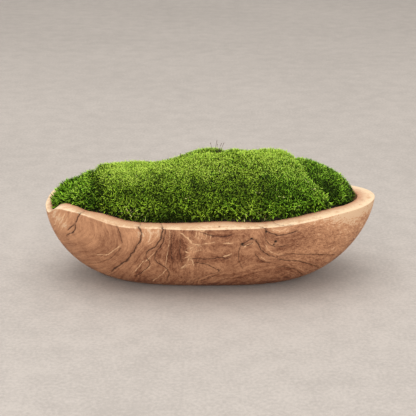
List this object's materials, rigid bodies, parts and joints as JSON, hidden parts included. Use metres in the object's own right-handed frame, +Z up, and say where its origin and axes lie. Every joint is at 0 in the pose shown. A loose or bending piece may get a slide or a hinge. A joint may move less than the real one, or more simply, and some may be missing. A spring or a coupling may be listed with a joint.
{
  "type": "moss bowl garden",
  "caption": "Boat-shaped, hand-carved wood bowl heaped with a mound of preserved green moss cushions, as a dry table garden or centrepiece",
  "frame": {"origin": "centre of the bounding box at the foot, on the surface that the bowl stands on", "axes": "+X along the bowl's length to the right, +Y to the back, +Z up"},
  "size_m": [0.4, 0.186, 0.1639],
  "materials": {
    "carved_wood": "matte",
    "dry_bed": "matte",
    "bright_moss": "matte",
    "dark_moss": "matte"
  },
  "bodies": {
    "root": {"wood_bowl": "carved_wood", "inner_bed": "dry_bed", "moss_front": "bright_moss", "moss_rear_left": "bright_moss", "moss_rear_right": "bright_moss", "moss_left": "dark_moss", "moss_right": "dark_moss"}
  },
  "joints": []
}
